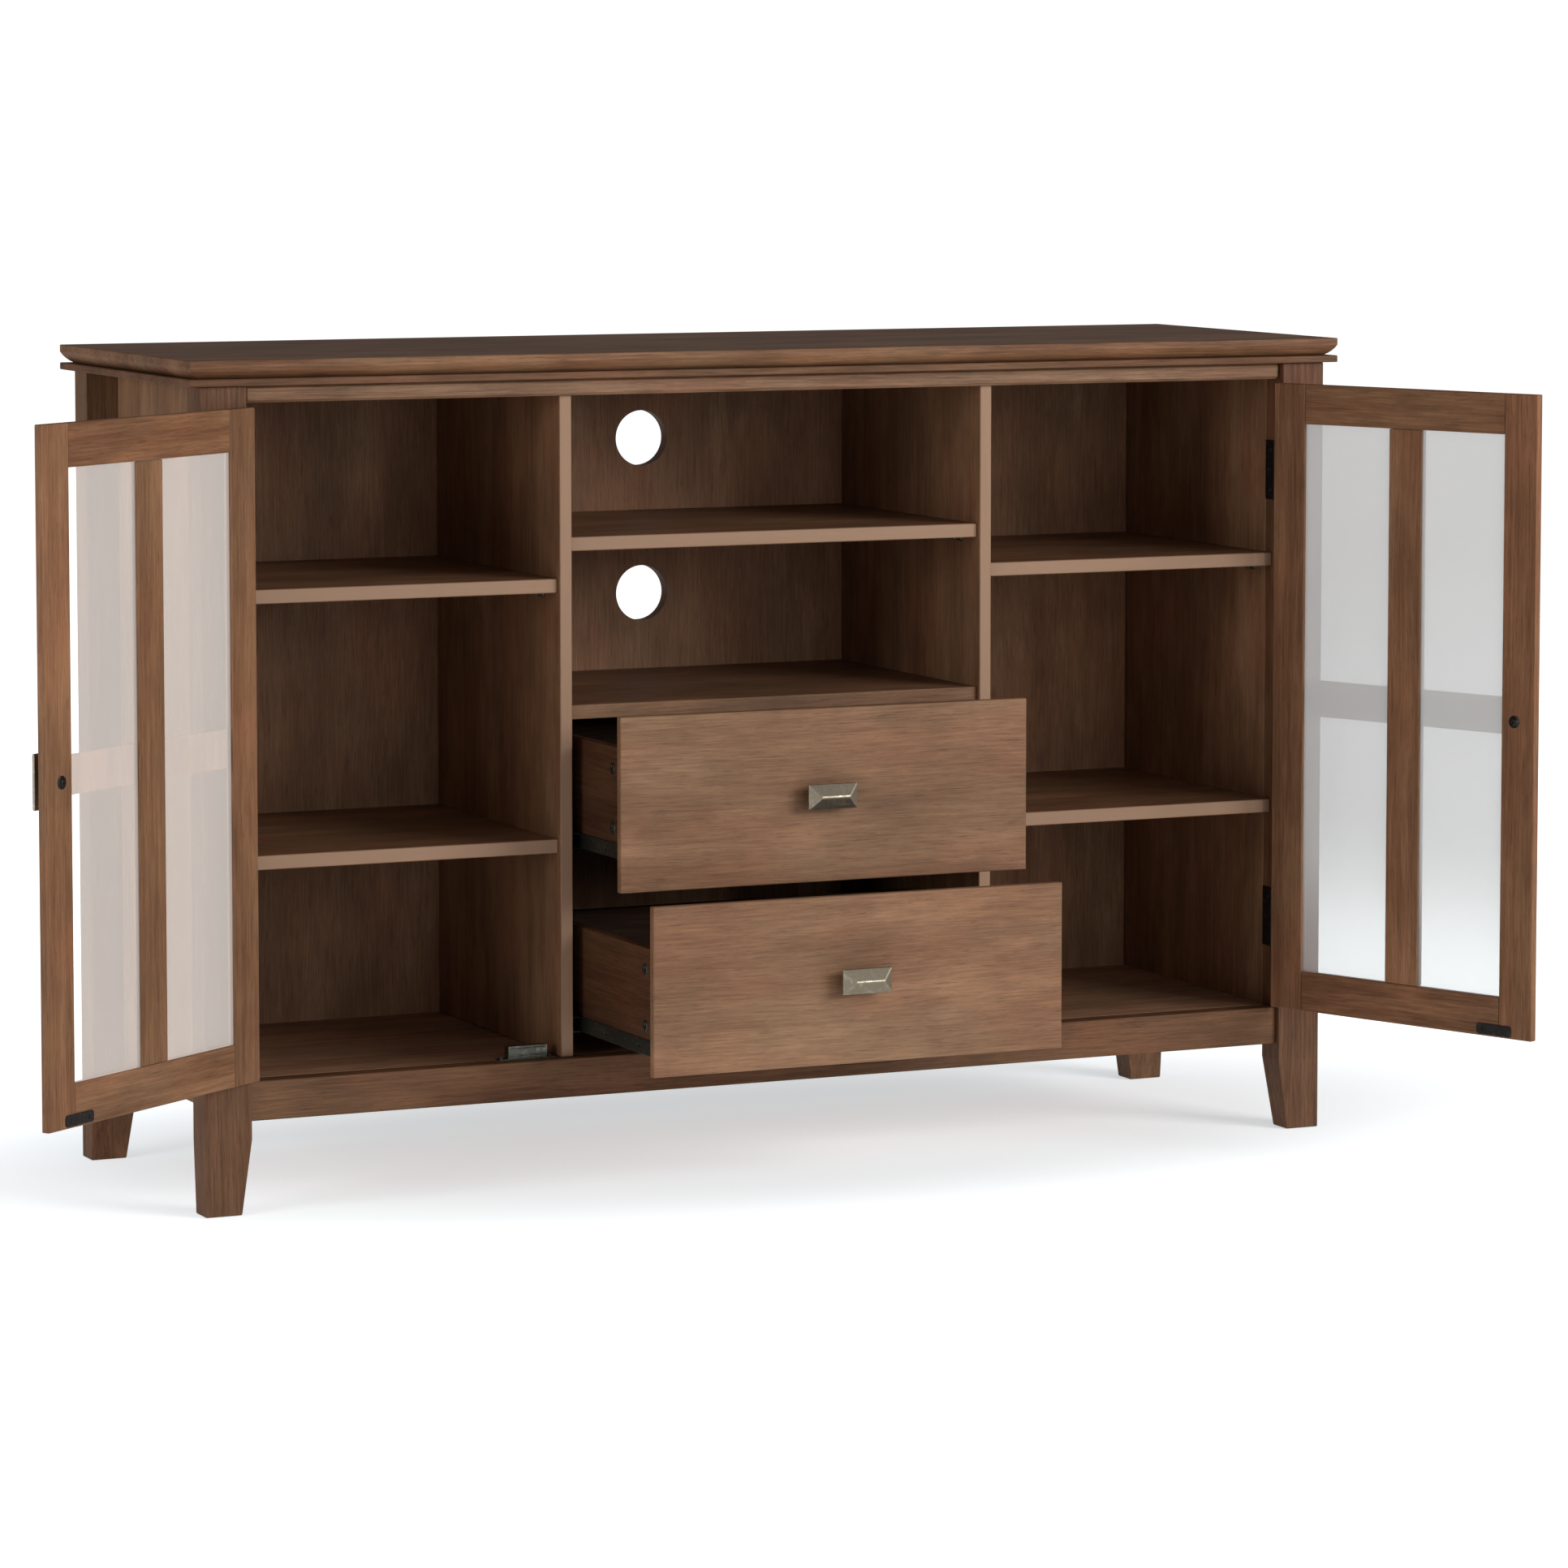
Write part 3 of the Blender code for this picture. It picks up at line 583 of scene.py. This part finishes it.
def strike_plate(body, x, y, z):
    """Plate on a door's back that faces the magnetic catch when the door is closed."""
    plate = bmesh.new()
    where = at("+y", x, y, z)
    holes = [disc(STRIKE_HOLE_R, (u, 0.0)) for u in STRIKE_HOLES]
    prism(plate, [rounded(*STRIKE_PLATE)] + holes, 0.0, STRIKE_THICK, where)
    for u in STRIKE_HOLES:
        screw_head(plate, SCREWS["strike"], moved(where, u))
    piece(f"{body}_strike_plate", plate, STEEL, body, STRIKE_EASE)


def magnetic_catch(side_name, side):
    """Housing with two pole strips on a slotted base."""
    catch = bmesh.new()
    ground = at("+z", side * CATCH_X, CATCH_Y, case_box("bottom_panel")[1].z)
    slots = [rounded(*CATCH_SLOT, centre) for centre in CATCH_SLOTS]
    prism(catch, [rounded(*CATCH_BASE)] + slots, 0.0, CATCH_BASE_THICK, ground)
    prism(catch, [rounded(*CATCH_HOUSING)], CATCH_BASE_THICK, CATCH_TALL, ground)
    for low_z in CATCH_POLES:
        prism(catch, [rounded(*CATCH_POLE)], low_z, low_z + CATCH_POLE_THICK, ground)
    for u, v in CATCH_SLOTS:
        screw_head(catch, SCREWS["catch"], moved(ground, u, v, CATCH_BASE_THICK))
    piece(f"{side_name}_magnetic_catch", catch, ZINC, "carcass", CATCH_EASE)


def shelf_pins(shelf):
    """Four stepped pins that a loose shelf rests on, two in each wall."""
    low, high = case_box(shelf)
    pins = bmesh.new()
    for wall_x, facing in ((low.x, "+x"), (high.x, "-x")):
        for y in (low.y + SHELF_PIN_IN, high.y - SHELF_PIN_IN):
            turned(pins, SHELF_PIN, at(facing, wall_x, y, low.z - SHELF_PIN_DROP))
    piece(f"{shelf}_pins", pins, ZINC, "carcass")


def bay_hardware(side_name, side):
    """What stays on the case in a side bay: frame-leaf screws, shelf pins and a catch."""
    _, into = outward(side)
    for level in LEVELS:
        leaf = f"{side_name}_{level}_hinge_frame_leaf"
        low, high = closed_box(leaf, "carcass")
        face = (high.x if side > 0 else low.x) - side * LEAF_THICK
        leaf_screws(leaf, "carcass", "frame_leaf", into, face, FRAME_LEAF_INSETS)
        shelf_pins(f"{side_name}_{level}_shelf")
    magnetic_catch(side_name, side)


def door_hardware(side_name, side):
    """What rides on a door: strike plate, knob bolt and door-leaf screws."""
    body = f"{side_name}_door"
    low, high = closed_box(f"{body}_free_stile", body)
    free_x = low.x if side > 0 else high.x
    strike_plate(body, free_x + side * STRIKE_IN, high.y, low.z + STRIKE_UP)
    knob_bolt(body, free_x + side * KNOB_IN, high.y, KNOB_Z)
    low, high = closed_box(f"{body}_hinge_stile", body)
    face = (high.x if side > 0 else low.x) + side * (GAP + LEAF_THICK)
    out, _ = outward(side)
    for level in LEVELS:
        leaf_screws(f"{side_name}_{level}_hinge_door_leaf", body, "door_leaf", out, face,
                    DOOR_LEAF_INSETS)


def runner_member(body, side_name, facing, face, low, high):
    """Slotted rail along a drawer's side, with a roller near its rear end."""
    long = high.y - low.y
    rail = bmesh.new()
    base = at(facing, face, (low.y + high.y) / 2, low.z + RUNNER_TALL / 2)
    spots = [share * long for share in MEMBER_HOLES]
    holes = [rounded(*MEMBER_HOLE, (0.0, v)) for v in spots]
    outline = rounded(MEMBER_WIDE, long - MEMBER_SHORT, MEMBER_CORNER)
    prism(rail, [outline] + holes, 0.0, MEMBER_THICK, base)
    for v in spots:
        screw_head(rail, SCREWS["member"], moved(base, y=v))
    turned(rail, ROLLER, moved(base, y=long / 2 - ROLLER_IN))
    piece(f"{body}_member_{side_name}", rail, RUNNER_STEEL, body, MEMBER_EASE)


def cam_connectors(body, side_name, facing, face, low, high):
    """Two round connectors near a drawer side's front end."""
    cams = bmesh.new()
    for share in CAM_RISES:
        spot = at(facing, face, low.y + CAM_IN, low.z + share * (high.z - low.z))
        turned(cams, CAM_RIM, spot)
        screw_head(cams, SCREWS["cam"], moved(spot, z=CAM_RIM[-1][1]), CAM_CROSS)
    piece(f"{body}_cams_{side_name}", cams, RUNNER_STEEL, body)


def runner_screws(runner, side, facing):
    """Screws through a runner's web into its divider."""
    low, high = case_box(runner)
    web = (high.x if side > 0 else low.x) - side * RUNNER_GAUGE
    screws = bmesh.new()
    for share in RUNNER_SCREWS:
        y = low.y + share * (high.y - low.y)
        screw_head(screws, SCREWS["runner"], at(facing, web, y, (low.z + high.z) / 2))
    piece(f"{runner}_screws", screws, ZINC, "carcass")


def drawer_hardware(level):
    body = f"{level}_drawer"
    low, high = closed_box(f"{body}_front", body)
    knob_bolt(body, 0.0, high.y, (low.z + high.z) / 2)
    for side_name, side in SIDES.items():
        out, into = outward(side)
        low, high = closed_box(f"{body}_{side_name}_side", body)
        face = high.x if side > 0 else low.x
        runner_member(body, side_name, out, face, low, high)
        cam_connectors(body, side_name, out, face, low, high)
        runner_screws(f"{level}_runner_{side_name}", side, into)


for side_name, side in SIDES.items():
    bay_hardware(side_name, side)
    door_hardware(side_name, side)
shelf_pins("centre_shelf")
for level in LEVELS:
    drawer_hardware(level)


# ---------------------------------------------------------------- floor, light and camera
FLOOR_RADIUS, FLOOR_STEPS = 14.0, 96
FLOOR_SHIFT, FLOOR_DROP = 0.08, 0.0005   # its middle from the case's, and its depth below the feet
FLOOR_PAINT, FLOOR_GLOW_TINT = (0.80, 0.80, 0.80), (0.955, 1.0, 1.03)
FLOOR_PAINTED_SHADOW = (1.00, 0.50)                 # half-lengths of the oval under the cabinet that glows less: a painted shadow
FLOOR_PAINTED_SHADOW_RIM = (0.5, 1.6)                   # where the glow starts and ends its rise out of the painted shadow, in such ovals
FLOOR_SEEN = (0.51, 1.12)                # the floor's glow at the middle of the painted shadow's oval, and outside it
FLOOR_SHED = 0.34                        # the part of the glow that lights the cabinet
FLOOR_FADE = (4.0, 9.0)                  # metres over which the floor fades into the background

HORIZON, CEILING = 0.24, 0.16            # light from the studio's walls and from its ceiling
SKY_SPAN = (0.10, 0.75)                  # heights on the sky between which one becomes the other
BACKDROP = 1.05                          # strength of the white that the camera sees behind the cabinet

LIT_POINT = (0.0, 0.0, 0.45)             # what every lamp is aimed at
LAMPS = {                                # place, width and height, watts, colour
    "key": ((3.1, -4.1, 2.0), (2.6, 1.8), 182.0, (1.0, 0.995, 0.985)),
    "front": ((0.3, -6.0, 1.45), (3.0, 2.0), 48.0, WHITE),
    "left": ((-4.4, -1.2, 1.2), (2.0, 1.6), 62.0, WHITE),
}

CAMERA_SENSOR, CAMERA_LENS = 36.0, 140.779       # millimetres
CAMERA_SHIFT = (-0.03714, -0.10)
CAMERA_PLACE = Vector((-2.73783, -6.15078, 1.18159))     # from the case's origin
CAMERA_TILT, CAMERA_ROLL, CAMERA_TURN = 0.09019, -0.00082, -0.44068
CAMERA_REACH = 200.0


def make_floor():
    """Pale floor that glows where it is seen, less under the cabinet as a painted shadow, and sheds less of that
    glow on the cabinet.
    """
    mesh = bpy.data.meshes.new("studio_floor")
    shape = bmesh.new()
    bmesh.ops.create_circle(shape, cap_ends=True, segments=FLOOR_STEPS, radius=FLOOR_RADIUS)
    shape.to_mesh(mesh)
    shape.free()
    floor = bpy.data.objects.new("studio_floor", mesh)
    bpy.context.scene.collection.objects.link(floor)
    floor.location = (CASE_ORIGIN.x + FLOOR_SHIFT, CASE_ORIGIN.y, -FLOOR_DROP)

    made = Nodes("studio_floor_paint")
    place = made.object_place()
    # the glow dips in an oval under the cabinet: a painted shadow
    shadow_oval = made.vectors("MULTIPLY", place, (1 / FLOOR_PAINTED_SHADOW[0], 1 / FLOOR_PAINTED_SHADOW[1], 0.0))
    painted_glow = made.span(made.length(shadow_oval), *FLOOR_PAINTED_SHADOW_RIM, *FLOOR_SEEN)
    seen = made.make("ShaderNodeLightPath").outputs["Is Camera Ray"]
    strength = made.maths("ADD", FLOOR_SHED, made.times(seen, made.maths("SUBTRACT", painted_glow, FLOOR_SHED)))
    made.set(Base_Color=rgba(*FLOOR_PAINT), Roughness=0.9, Specular_IOR_Level=0.0)
    made.set(Emission_Color=rgba(*FLOOR_GLOW_TINT), Emission_Strength=strength)
    gone = made.make("ShaderNodeBsdfTransparent").outputs[0]
    made.show(made.span(made.length(place), *FLOOR_FADE), made.shader.outputs[0], gone)
    mesh.materials.append(made.material)


def make_world():
    """White behind the cabinet, and for light a pale band round the horizon with a dim ceiling."""
    world = bpy.data.worlds.new("studio")
    bpy.context.scene.world = world
    world.use_nodes = True
    tree = world.node_tree
    back = tree.nodes["Background"]
    back.inputs["Color"].default_value = rgba(*WHITE)
    height = tree.nodes.new("ShaderNodeSeparateXYZ")
    tree.links.new(tree.nodes.new("ShaderNodeTexCoord").outputs["Generated"], height.inputs[0])
    fall = tree.nodes.new("ShaderNodeMapRange")
    for socket, value in zip(("From Min", "From Max", "To Min", "To Max"), (*SKY_SPAN, HORIZON, CEILING)):
        fall.inputs[socket].default_value = value
    tree.links.new(height.outputs["Z"], fall.inputs["Value"])
    tree.links.new(fall.outputs["Result"], back.inputs["Strength"])
    white = tree.nodes.new("ShaderNodeBackground")
    white.inputs["Color"].default_value = rgba(*WHITE)
    white.inputs["Strength"].default_value = BACKDROP
    seen = tree.nodes.new("ShaderNodeLightPath")
    both = tree.nodes.new("ShaderNodeMixShader")
    tree.links.new(seen.outputs["Is Camera Ray"], both.inputs[0])
    tree.links.new(back.outputs[0], both.inputs[1])
    tree.links.new(white.outputs[0], both.inputs[2])
    tree.links.new(both.outputs[0], tree.nodes["World Output"].inputs["Surface"])


def make_lamp(name, place, size, power, colour):
    """Soft rectangular lamp aimed at the cabinet's middle."""
    lamp = bpy.data.lights.new(name, "AREA")
    lamp.shape = "RECTANGLE"
    lamp.size, lamp.size_y = size
    lamp.energy = power
    lamp.color = colour
    obj = bpy.data.objects.new(name, lamp)
    bpy.context.scene.collection.objects.link(obj)
    obj.location = place
    obj.rotation_euler = (Vector(LIT_POINT) - Vector(place)).to_track_quat("-Z", "Y").to_euler()
    obj.visible_camera = False


def make_camera():
    lens = bpy.data.cameras.new("camera")
    lens.sensor_width = CAMERA_SENSOR
    lens.lens = CAMERA_LENS
    lens.shift_x, lens.shift_y = CAMERA_SHIFT
    lens.clip_end = CAMERA_REACH
    camera = bpy.data.objects.new("camera", lens)
    camera.location = CASE_ORIGIN + CAMERA_PLACE
    camera.rotation_euler = (math.pi / 2 - CAMERA_TILT, CAMERA_ROLL, CAMERA_TURN)
    bpy.context.scene.collection.objects.link(camera)
    bpy.context.scene.camera = camera


make_floor()
make_world()
for name, settings in LAMPS.items():
    make_lamp(name, *settings)
make_camera()
bpy.context.scene.view_settings.view_transform = "Standard"
bpy.context.scene.view_settings.look = "None"
